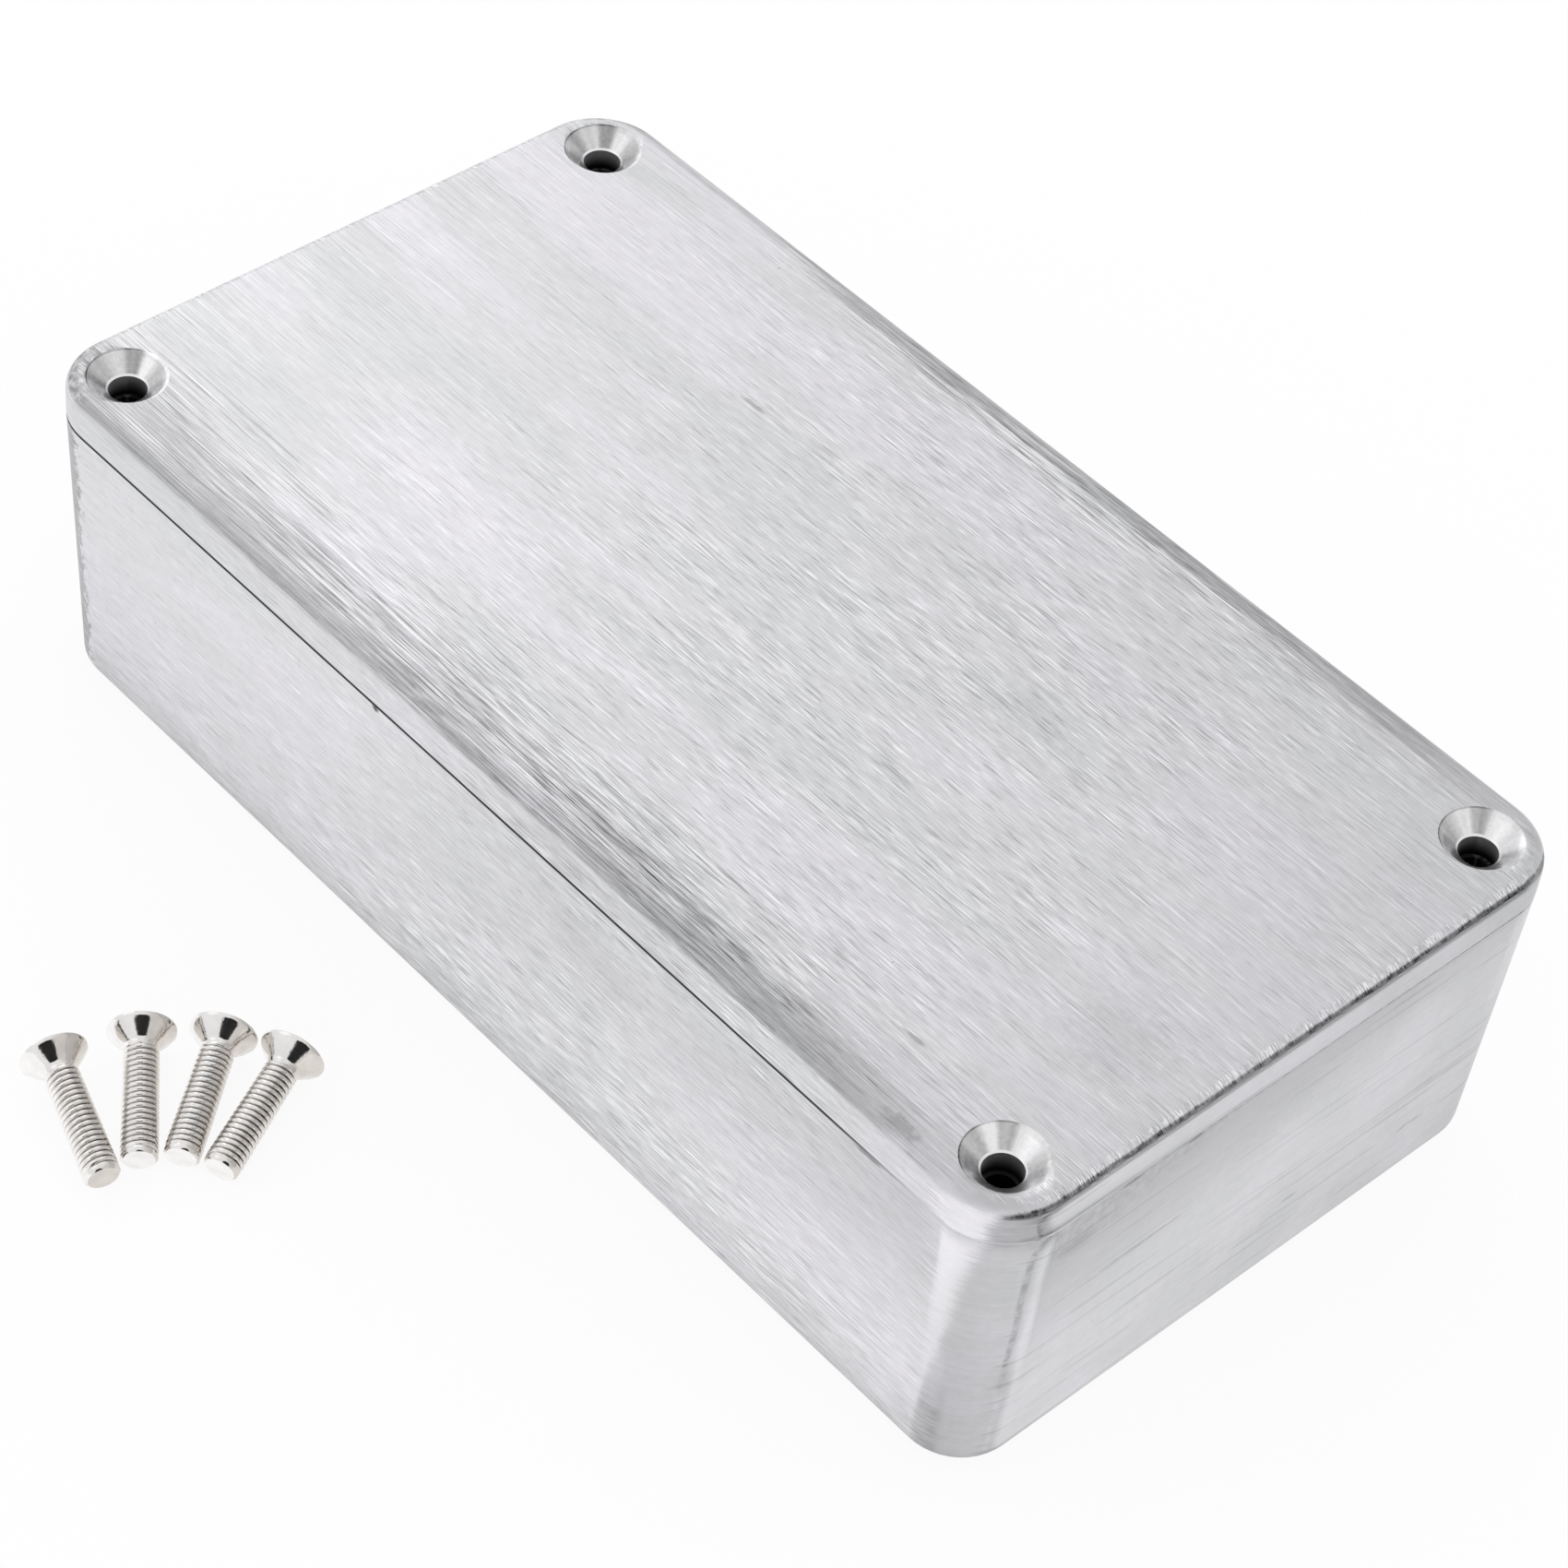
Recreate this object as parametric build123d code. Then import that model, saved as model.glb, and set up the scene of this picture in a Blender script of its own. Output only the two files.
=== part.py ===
from build123d import *
import os
from math import asin, atan2, cos, degrees, radians, sin, tan

# Die cast aluminium box with its lid on and its four lid screws taken out, in millimetres.
# The long side lies along X and the short side along Y. The box stands on its base,
# with the origin in the middle of the underside. The screws lie in front of it, at -Y.

# Closed box
length = 112.4
width = 60.5
height = 31.0
corner_radius = 6.0
side_draft = 2.0
base_edge_radius = 1.6

# Inside of the body, with the wall measured at the rim
wall = 2.2
floor_thickness = 2.2
cavity_draft = 2.0
cavity_floor_bevel = 0.8
cavity_corner_radius = 1.5
smallest_corner_radius = 0.3

# Lid
lid_edge_height = 3.4
lid_thickness = 2.2
top_edge_radius = 1.2
lip_depth = 1.6
lip_width = 1.6
lip_clearance = 0.25
lip_lead_in = 0.3

# The outer edges that meet at the seam are both broken by this much
seam_break = 0.13

# Screw corners
hole_inset_x = 5.3
hole_inset_y = 5.2
pillar_radius = 3.8

# Flat round marks that the ejector pins leave in the body's floor
ejector_radius = 2.5
ejector_depth = 0.15
ejector_inset_x = 18.0
ejector_inset_y = 13.0

# M3 countersunk machine screw with a cross recess
thread_radius = 1.5
screw_length = 12.0
head_radius = 2.75
head_land = 0.3
tip_chamfer = 0.3
recess_span = 3.0
recess_slot = 0.7
recess_depth = 1.6
recess_core_radius = 0.75

# Fits between a screw and the castings
hole_clearance = 0.1
head_clearance = 0.6
countersink_angle = 100.0
thread_height = 0.25
tapping_run_out = 3.0
drill_point_angle = 118.0

# The loose screws lie in a fan, tips nearly touching and heads spread out.
# Headings are counted from +X, each from a screw's tip to its head.
fan_gap = 0.16
fan_start_x = -5.2
fan_start_distance = 31.15
fan_start_heading = 162.5
fan_step_directions = (85.5, 56.5, 30.5)
fan_spare_turns = (8.0, 3.5, 0.5)
recess_turns = (10.0, 35.0, 62.0, 80.0)

# Sizes that follow from the ones above
seam_height = height - lid_edge_height
base_inset = seam_height * tan(radians(side_draft))
cavity_depth = seam_height - floor_thickness
hole_x = length / 2 - hole_inset_x
hole_y = width / 2 - hole_inset_y
lid_hole_radius = thread_radius + hole_clearance
countersink_radius = head_radius + head_clearance
tapping_radius = thread_radius - thread_height
tapped_depth = min(screw_length - lid_edge_height + tapping_run_out, cavity_depth)


def opening_corners(inset):
    """Corners of the opening at the rim, stepped around the pillars and shrunk by inset."""
    wall_x = length / 2 - wall - inset
    wall_y = width / 2 - wall - inset
    pillar_x = hole_x - pillar_radius - inset
    pillar_y = hole_y - pillar_radius - inset
    points = []
    for quarter, (side_x, side_y) in enumerate(((1, 1), (-1, 1), (-1, -1), (1, -1))):
        steps = [(wall_x, pillar_y), (pillar_x, pillar_y), (pillar_x, wall_y)]
        if quarter % 2:
            steps.reverse()
        points += [(side_x * x, side_y * y) for x, y in steps]
    return points


def opening_outline(inset):
    """The opening at the rim as a face with rounded corners, shrunk by inset."""
    corner = max(cavity_corner_radius - inset, smallest_corner_radius)
    radii = [corner, pillar_radius + inset, corner] * 4
    return make_face(FilletPolyline(*opening_corners(inset), radius=radii, close=True))


def at_corners(shape, z):
    """Copies of a shape at the four screw corners, at height z."""
    return [Pos(0, 0, z) * place * shape for place in GridLocations(2 * hole_x, 2 * hole_y, 2, 2)]


def ejector_marks(z):
    """Shallow round marks, sunk into a floor at height z."""
    spread_x = length - 2 * ejector_inset_x
    spread_y = width - 2 * ejector_inset_y
    mark = Cylinder(ejector_radius, 2 * ejector_depth)
    return [Pos(0, 0, z) * place * mark for place in GridLocations(spread_x, spread_y, 2, 2)]


def tapped_hole():
    """A blind hole with its mouth at the origin and a drill point at the bottom."""
    point_depth = tapping_radius / tan(radians(drill_point_angle / 2))
    bottom = Cone(0, tapping_radius, point_depth, align=(Align.CENTER, Align.CENTER, Align.MAX))
    bore = Cylinder(tapping_radius, tapped_depth, align=(Align.CENTER, Align.CENTER, Align.MAX))
    return bore + Pos(0, 0, -tapped_depth) * bottom


def make_cavity():
    """The hollow of the body, hanging down from z = 0, with drafted walls."""
    cavity = extrude(make_face(Polyline(*opening_corners(0), close=True)), -cavity_depth)
    walls = cavity.faces().filter_by(Axis.Z, reverse=True)
    cavity = draft(walls, Plane.XY, -cavity_draft)

    def between_walls(edge):
        return edge.bounding_box().size.Z > cavity_depth / 2

    def beside_pillar(edge):
        return abs(edge.center().X) < hole_x and abs(edge.center().Y) < hole_y

    upright = cavity.edges().filter_by(between_walls)
    cavity = fillet(upright.filter_by(beside_pillar, reverse=True), cavity_corner_radius)
    upright = cavity.edges().filter_by(between_walls)
    cavity = fillet(upright.filter_by(beside_pillar), pillar_radius)
    return chamfer(cavity.faces().sort_by(Axis.Z)[0].edges(), cavity_floor_bevel)


def make_box_body():
    """The lower casting: drafted walls, a floor and four solid screw corners."""
    base = RectangleRounded(
        length - 2 * base_inset, width - 2 * base_inset, corner_radius - base_inset
    )
    outside = extrude(base, seam_height, taper=-side_draft)
    outside = fillet(outside.faces().sort_by(Axis.Z)[0].edges(), base_edge_radius)
    outside = chamfer(outside.faces().sort_by(Axis.Z)[-1].edges(), seam_break)
    body = outside - Pos(0, 0, seam_height) * make_cavity()
    body -= at_corners(tapped_hole(), seam_height)
    return body - ejector_marks(floor_thickness)


def make_lid():
    """The upper casting: a plate with a thick edge and a lip that enters the body."""
    edge = extrude(RectangleRounded(length, width, corner_radius), lid_edge_height)
    edge = fillet(edge.faces().sort_by(Axis.Z)[-1].edges(), top_edge_radius)
    edge = chamfer(edge.faces().sort_by(Axis.Z)[0].edges(), seam_break)

    lip = extrude(opening_outline(lip_clearance), -lip_depth)
    lip = chamfer(lip.faces().sort_by(Axis.Z)[0].edges(), lip_lead_in)
    pocket_top = lid_edge_height - lid_thickness
    pocket = extrude(opening_outline(lip_clearance + lip_width), lip_depth + pocket_top)
    lid = edge + lip - Pos(0, 0, -lip_depth) * pocket

    cone_height = (countersink_radius - lid_hole_radius) / tan(radians(countersink_angle / 2))
    hole = Cylinder(lid_hole_radius, 3 * lid_edge_height)
    sink = Cone(
        lid_hole_radius, countersink_radius, cone_height,
        align=(Align.CENTER, Align.CENTER, Align.MAX),
    )
    lid -= at_corners(hole, lid_edge_height)
    lid -= at_corners(sink, lid_edge_height)
    return Pos(0, 0, seam_height) * lid


def make_screw():
    """A screw along Z, with the top of its head at the origin and its tip below."""
    neck = head_land + head_radius - thread_radius
    half_section = Polyline(
        (0, 0),
        (head_radius, 0),
        (head_radius, -head_land),
        (thread_radius, -neck),
        (thread_radius, tip_chamfer - screw_length),
        (thread_radius - tip_chamfer, -screw_length),
        (0, -screw_length),
        close=True,
    )
    screw = revolve(Plane.XZ * make_face(half_section), Axis.Z)

    slot = Box(recess_span, recess_slot, 2 * recess_depth)
    core = Cylinder(recess_core_radius, 2 * recess_depth)
    taper = Cone(
        recess_core_radius / 2, recess_span / 2, recess_depth,
        align=(Align.CENTER, Align.CENTER, Align.MAX),
    )
    return screw - ((slot + Rot(0, 0, 90) * slot + core) & taper)


def screw_places():
    """Where the tips of the loose screws lie, with the heading of each."""
    tip_step = 2 * thread_radius + fan_gap
    least_turn = degrees(asin((2 * head_radius + fan_gap - tip_step) / screw_length))
    x = fan_start_x
    y = -width / 2 - fan_start_distance
    heading = fan_start_heading
    places = [(x, y, heading)]
    for direction, spare in zip(fan_step_directions, fan_spare_turns):
        x += tip_step * cos(radians(direction))
        y += tip_step * sin(radians(direction))
        heading -= least_turn + spare
        places.append((x, y, heading))
    return places


def lay_down(screw, x, y, heading, recess_turn):
    """A screw at rest on the ground, touching it with its head's rim and its tip."""
    tilt = atan2(head_radius - thread_radius, screw_length - head_land - tip_chamfer)
    tip_height = (thread_radius - tip_chamfer * tan(tilt)) * cos(tilt)
    lying = Rot(0, 90 - degrees(tilt), 0) * Rot(0, 0, recess_turn)
    return Pos(x, y, tip_height) * Rot(0, 0, heading) * lying * Pos(0, 0, screw_length) * screw


parts = {"box_body": make_box_body(), "lid": make_lid()}
for number, (place, turn) in enumerate(zip(screw_places(), recess_turns), start=1):
    parts[f"lid_screw_{number}"] = lay_down(make_screw(), *place, turn)

os.makedirs("parts", exist_ok=True)
for name, shape in parts.items():
    export_step(shape, f"parts/{name}.step")
    print(name, "volume", round(shape.volume, 1), "box", shape.bounding_box())
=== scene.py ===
"""Finishes, screw threads and studio for a die cast aluminium box with its lid screws laid out."""

import logging
import math
from dataclasses import dataclass
from enum import Enum

import bmesh
import bpy
from mathutils import Matrix, Vector


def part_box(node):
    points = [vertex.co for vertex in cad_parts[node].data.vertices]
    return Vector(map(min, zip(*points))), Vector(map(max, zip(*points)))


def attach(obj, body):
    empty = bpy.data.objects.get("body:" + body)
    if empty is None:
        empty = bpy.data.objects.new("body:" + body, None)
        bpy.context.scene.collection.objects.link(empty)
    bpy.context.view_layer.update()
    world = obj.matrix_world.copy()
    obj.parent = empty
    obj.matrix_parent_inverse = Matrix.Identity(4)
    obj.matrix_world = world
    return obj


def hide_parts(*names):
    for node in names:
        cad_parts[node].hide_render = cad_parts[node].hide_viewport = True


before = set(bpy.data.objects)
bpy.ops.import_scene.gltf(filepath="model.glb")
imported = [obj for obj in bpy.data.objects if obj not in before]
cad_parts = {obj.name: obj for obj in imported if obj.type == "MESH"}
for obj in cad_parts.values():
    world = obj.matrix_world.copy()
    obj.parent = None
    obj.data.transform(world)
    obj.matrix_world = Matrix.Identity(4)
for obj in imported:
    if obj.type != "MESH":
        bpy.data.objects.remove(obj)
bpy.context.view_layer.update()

MM = 0.001
LOG = logging.getLogger("die_cast_box")
Feed = bpy.types.NodeSocket | float | bool | tuple | str


class Slot(Enum):
    """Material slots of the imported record."""

    ALUMINIUM = "cast_aluminium"
    NICKEL = "nickel_plate"


class Surface(Enum):
    """How a face of a casting was finished, as the place of its material on the piece."""

    BRUSHED = 0
    MACHINED = 1
    AS_CAST = 2


class Bench:
    """Adds nodes to one tree and wires them, so that a recipe reads as a list of steps."""

    def __init__(self, tree: bpy.types.NodeTree) -> None:
        """Args: tree: the node tree that gets the nodes."""
        self.tree = tree

    def add(self, kind: str, feeds: dict | None = None, **settings) -> bpy.types.Node:
        """Adds one node.

        Args:
            kind: Blender's name of the node type.
            feeds: socket name or number to the socket or constant that feeds it.
            settings: properties of the node.

        Returns:
            The new node.
        """
        node = self.tree.nodes.new(kind)
        for name, value in settings.items():
            setattr(node, name, value)
        for key, value in (feeds or {}).items():
            self.feed(node.inputs[key], value)
        return node

    def feed(self, socket: bpy.types.NodeSocket, value: Feed) -> None:
        """Links a socket to another one, or sets its constant.

        Args:
            socket: the input to feed.
            value: the socket or constant that feeds it.
        """
        if isinstance(value, bpy.types.NodeSocket):
            self.tree.links.new(value, socket)
        else:
            socket.default_value = value

    def math(self, operation: str, *values: Feed) -> bpy.types.NodeSocket:
        """Returns one step of arithmetic. Args: operation: its name; values: its operands."""
        return self.add("ShaderNodeMath", dict(enumerate(values)), operation=operation).outputs[0]

    def times(self, first: Feed, second: Feed) -> bpy.types.NodeSocket:
        """Returns the product of two numbers. Args: first, second: the numbers."""
        return self.math("MULTIPLY", first, second)

    def scaled(self, value: Feed, factor: Feed, base: Feed) -> bpy.types.NodeSocket:
        """Returns base + value * factor. Args: value, factor, base: the three numbers."""
        return self.math("MULTIPLY_ADD", value, factor, base)

    def larger(self, first: Feed, second: Feed) -> bpy.types.NodeSocket:
        """Returns the larger of two numbers. Args: first, second: the numbers."""
        return self.math("MAXIMUM", first, second)

    def centred(self, value: Feed) -> bpy.types.NodeSocket:
        """Returns a value that varies round 0. Args: value: one that varies round 0.5."""
        return self.math("SUBTRACT", value, 0.5)

    def vector(self, operation: str, first: Feed, second: Feed = None) -> bpy.types.NodeSocket:
        """One step of vector arithmetic.

        Args:
            operation: name of the operation; SCALE takes a number as its second operand.
            first: first operand.
            second: second operand, if there is one.

        Returns:
            The result, a number for LENGTH and DOT_PRODUCT and a vector otherwise.
        """
        feeds = {0: first}
        if second is not None:
            feeds["Scale" if operation == "SCALE" else 1] = second
        node = self.add("ShaderNodeVectorMath", feeds, operation=operation)
        return node.outputs["Value" if operation in ("LENGTH", "DOT_PRODUCT") else "Vector"]

    def split(self, vector: Feed) -> tuple:
        """Returns the three parts of a vector. Args: vector: the vector."""
        node = self.add("ShaderNodeSeparateXYZ", {0: vector})
        return tuple(node.outputs)

    def join(self, x: Feed, y: Feed, z: Feed) -> bpy.types.NodeSocket:
        """Returns a vector. Args: x, y, z: its parts."""
        return self.add("ShaderNodeCombineXYZ", {0: x, 1: y, 2: z}).outputs[0]

    def step(self, value: Feed, low: Feed, high: Feed, start: Feed = 0.0, end: Feed = 1.0):
        """A smooth step.

        Args:
            value: what the step depends on.
            low: where it begins; it may lie above high.
            high: where it ends.
            start: the result before it.
            end: the result after it.

        Returns:
            The stepped value.
        """
        feeds = {"Value": value, "From Min": low, "From Max": high, "To Min": start, "To Max": end}
        return self.add("ShaderNodeMapRange", feeds, interpolation_type="SMOOTHSTEP").outputs[0]

    def noise(self, vector: Feed, scale: Feed = 1.0, detail: float = 2.0, roughness: float = 0.5):
        """Fractal noise around 0.5.

        Args:
            vector: where it is read.
            scale: how many features there are in a unit.
            detail: number of octaves.
            roughness: how strong the finer octaves are.

        Returns:
            The noise value.
        """
        feeds = {"Vector": vector, "Scale": scale, "Detail": detail, "Roughness": roughness}
        return self.add("ShaderNodeTexNoise", feeds).outputs[0]

    def blend(self, factor: Feed, first: Feed, second: Feed) -> bpy.types.NodeSocket:
        """Mixes two numbers.

        Args:
            factor: 0 for the first, 1 for the second.
            first: first number.
            second: second number.

        Returns:
            The mixed number.
        """
        return self.add("ShaderNodeMix", {0: factor, 2: first, 3: second}).outputs[0]

    def group(self, tree: bpy.types.NodeTree, **feeds: Feed) -> bpy.types.NodeSocket:
        """Places a shader group.

        Args:
            tree: the group's tree.
            feeds: input name to what feeds it.

        Returns:
            The group's first output.
        """
        node = self.add("ShaderNodeGroup", node_tree=tree)
        for name, value in feeds.items():
            self.feed(node.inputs[name], value)
        return node.outputs[0]


def new_group(name: str, inputs: dict[str, str], output: str) -> tuple:
    """Starts a shader group with one output.

    Args:
        name: the group's name.
        inputs: input name to the kind of its socket, Float or Vector.
        output: name of its output, a number.

    Returns:
        A bench on the group's tree, its inputs by name, and the socket that takes its result.
    """
    tree = bpy.data.node_groups.new(name, "ShaderNodeTree")
    for label, kind in inputs.items():
        tree.interface.new_socket(name=label, in_out="INPUT", socket_type=f"NodeSocket{kind}")
    tree.interface.new_socket(name=output, in_out="OUTPUT", socket_type="NodeSocketFloat")
    bench = Bench(tree)
    entry = bench.add("NodeGroupInput")
    result = bench.add("NodeGroupOutput").inputs[output]
    return bench, {label: entry.outputs[label] for label in inputs}, result


def directed_noise(bench: Bench, get: dict) -> bpy.types.NodeSocket:
    """Noise drawn out along X on the lid's top, and level along the upright walls.

    Args:
        bench: a group's bench.
        get: the group's inputs: Place, Top, Length, Width and Seed.

    Returns:
        The noise value.
    """
    along = bench.math("DIVIDE", 1.0, get["Length"])
    across = bench.math("DIVIDE", 1.0, get["Width"])
    place = bench.vector("ADD", get["Place"], get["Seed"])
    top = bench.math("GREATER_THAN", get["Top"], 0.5)
    sizes = bench.join(along, bench.blend(top, along, across), bench.blend(top, across, along))
    return bench.noise(bench.vector("MULTIPLY", place, sizes), detail=1.0)


def brushing_group() -> bpy.types.NodeTree:
    """Streaks of a brush.

    Returns:
        The group, whose result is 0 between streaks and 1 in them.
    """
    inputs = {"Place": "Vector", "Top": "Float", "Length": "Float", "Width": "Float"}
    inputs |= {"Low": "Float", "High": "Float", "Seed": "Float"}
    bench, get, result = new_group("Brushing", inputs, "Streaks")
    bench.feed(result, bench.step(directed_noise(bench, get), get["Low"], get["High"]))
    return bench.tree


def scratches_group() -> bpy.types.NodeTree:
    """Short hair-fine scratches, bright ones and dark ones, that run like the brush lines.

    Returns:
        The group, whose result is 1 on bright scratches, -1 on dark ones and 0 elsewhere.
    """
    inputs = {"Place": "Vector", "Top": "Float", "Length": "Float", "Width": "Float"}
    inputs |= {"Share": "Float", "Seed": "Float"}
    bench, get, result = new_group("Scratches", inputs, "Relief")
    noise = directed_noise(bench, get)
    low = bench.scaled(get["Share"], -0.13, 0.69)
    bright = bench.step(noise, low, bench.math("ADD", low, 0.04))
    dark = bench.step(noise, bench.math("SUBTRACT", 1.0, low), bench.math("SUBTRACT", 0.96, low))
    bench.feed(result, bench.math("SUBTRACT", bright, dark))
    return bench.tree


def clouds_group() -> bpy.types.NodeTree:
    """Soft patches without direction.

    Returns:
        The group, whose result is 0 to 1.
    """
    inputs = {"Place": "Vector", "Size": "Float", "Low": "Float", "High": "Float"}
    bench, get, result = new_group("Clouds", inputs, "Patches")
    noise = bench.noise(get["Place"], bench.math("DIVIDE", 1.0, get["Size"]), detail=2.0)
    bench.feed(result, bench.step(noise, get["Low"], get["High"]))
    return bench.tree


def mark_group() -> bpy.types.NodeTree:
    """One dirty or worn mark with a ragged border.

    Returns:
        The group, whose result is what the mark leaves of the tone: 1 outside it, Left inside.
    """
    inputs = {"Place": "Vector", "Centre": "Vector", "Reach": "Vector", "Ragged": "Float"}
    inputs |= {"Grain": "Float", "Left": "Float"}
    bench, get, result = new_group("Mark", inputs, "Share")
    offset = bench.vector("SUBTRACT", get["Place"], get["Centre"])
    distance = bench.vector("LENGTH", bench.vector("DIVIDE", offset, get["Reach"]))
    ragged = bench.scaled(get["Grain"], get["Ragged"], distance)
    bench.feed(result, bench.step(ragged, 1.0, 0.35, 1.0, get["Left"]))
    return bench.tree


@dataclass(frozen=True)
class Groups:
    """The shader groups that the finishes share."""

    brushing: bpy.types.NodeTree
    scratches: bpy.types.NodeTree
    clouds: bpy.types.NodeTree
    mark: bpy.types.NodeTree


@dataclass(frozen=True)
class Mark:
    """A dark mark on the box: where it is and how far it reaches in mm, and how dark it is."""

    centre: tuple[float, float, float]
    reach: tuple[float, float, float]
    depth: float
    ragged: float = 1.2


def new_material(name: str) -> tuple[bpy.types.Material, Bench, bpy.types.Node]:
    """Starts a material with one Principled shader.

    Args:
        name: the material's name.

    Returns:
        The material, a bench on its tree, and the shader.
    """
    material = bpy.data.materials.new(name)
    material.use_nodes = True
    material.node_tree.nodes.clear()
    bench = Bench(material.node_tree)
    shader = bench.add("ShaderNodeBsdfPrincipled")
    bench.add("ShaderNodeOutputMaterial", {"Surface": shader.outputs[0]}, name="Surface")
    return material, bench, shader


class Tone:
    """The tone of a finish, built up step by step."""

    def __init__(self, bench: Bench, start: float) -> None:
        """Args: bench: the material's bench; start: the tone to start from."""
        self.bench = bench
        self.value: Feed = start

    def add(self, share: Feed, change: Feed) -> None:
        """Adds a change where it shows. Args: share: how much it shows; change: what it adds."""
        self.value = self.bench.scaled(share, change, self.value)

    def scale(self, factor: Feed) -> None:
        """Multiplies the tone. Args: factor: the number to multiply with."""
        self.value = self.bench.times(self.value, factor)

    def turn(self, share: Feed, other: Feed) -> None:
        """Turns it to another tone. Args: share: how much of the other shows; other: that tone."""
        self.value = self.bench.blend(share, self.value, other)

    def coloured(self, tint: Feed) -> bpy.types.NodeSocket:
        """Returns the tone as a colour. Args: tint: the colour at full tone."""
        return self.bench.vector("SCALE", tint, self.value)


def finish_metal(
    bench: Bench, shader: bpy.types.Node, colour: Feed, rough: Feed,
    relief: Feed, strength: Feed, depth: float,
) -> None:
    """Makes a Principled shader a metal with a fine relief.

    Args:
        bench: the material's bench.
        shader: the shader.
        colour: the metal's colour.
        rough: its roughness.
        relief: height of the relief, 0 to 1.
        strength: how much of the relief shows.
        depth: how deep it is, in mm.
    """
    bench.feed(shader.inputs["Base Color"], colour)
    shader.inputs["Metallic"].default_value = 1.0
    bench.feed(shader.inputs["Roughness"], rough)
    bump = bench.add("ShaderNodeBump", {"Strength": strength, "Distance": depth * MM, "Height": relief})
    bench.feed(shader.inputs["Normal"], bump.outputs[0])


def millimetres(bench: Bench) -> bpy.types.NodeSocket:
    """Returns the place on the piece in mm. Args: bench: the material's bench."""
    place = bench.add("ShaderNodeTexCoord").outputs["Object"]
    return bench.vector("SCALE", place, 1 / MM)


@dataclass(frozen=True)
class Changes:
    """What each effect adds to the tone of the brushed metal where it shows in full."""

    patches: float = -0.03
    grain: float = 0.1
    scuffed_grain: float = 0.7
    scuffed_spots: float = 0.16
    # painted shade towards the foot of the walls, and painted light and shade on the lid's top and the
    # front wall
    wall_foot_shade: float = -0.14
    lid_far_side: float = -0.02
    lid_right_end: float = -0.03
    lid_left_end: float = 0.035
    front_left: float = 0.018
    front_right: float = 0.065
    lines: float = 0.12
    busy_lines: float = 0.08
    broad: float = 0.02
    # painted shade along the lid's long edges: slight in the scratched band, stronger nearer the edge and
    # at its border
    band: float = -0.04
    edge_shade_left: float = -0.14
    edge_shade_right: float = -0.18
    border: float = -0.05
    short: float = 0.14
    long: float = 0.12
    lined: float = 0.15
    # painted glint: a painted highlight on the long scratches in the band
    glint: float = 0.2
    dark_lines: float = -0.1
    # painted light and shade on the +X end and across the rounded front corner, a painted dark line along
    # the corner's edge, a painted dark strip on the corner at -X, -Y, and a painted highlight
    end_side_near: float = 0.04
    end_side_far: float = -0.06
    end_rim: float = -0.09
    grey: float = -0.165
    grey_rim: float = -0.09
    silhouette_corner_shade: float = -0.25
    edge_foot: float = 0.05
    edge_line: float = -0.18
    highlight_stripe: float = 0.1
    worn_foot: float = -0.2
    # painted highlights on the lid's rounded short edges, and painted shade beneath them
    tick_highlights: float = 0.26
    below_ticks: float = -0.2


@dataclass(frozen=True)
class Spot:
    """What the brushed finish reads at a point: its place in mm, its normal and shared noises."""

    place: Feed
    x: Feed
    y: Feed
    z: Feed
    facing: tuple
    on_top: Feed
    level: Feed
    grain: Feed
    uneven: Feed
    mottle: Feed
    patches: Feed
    fine: Feed
    broad: Feed


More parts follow.
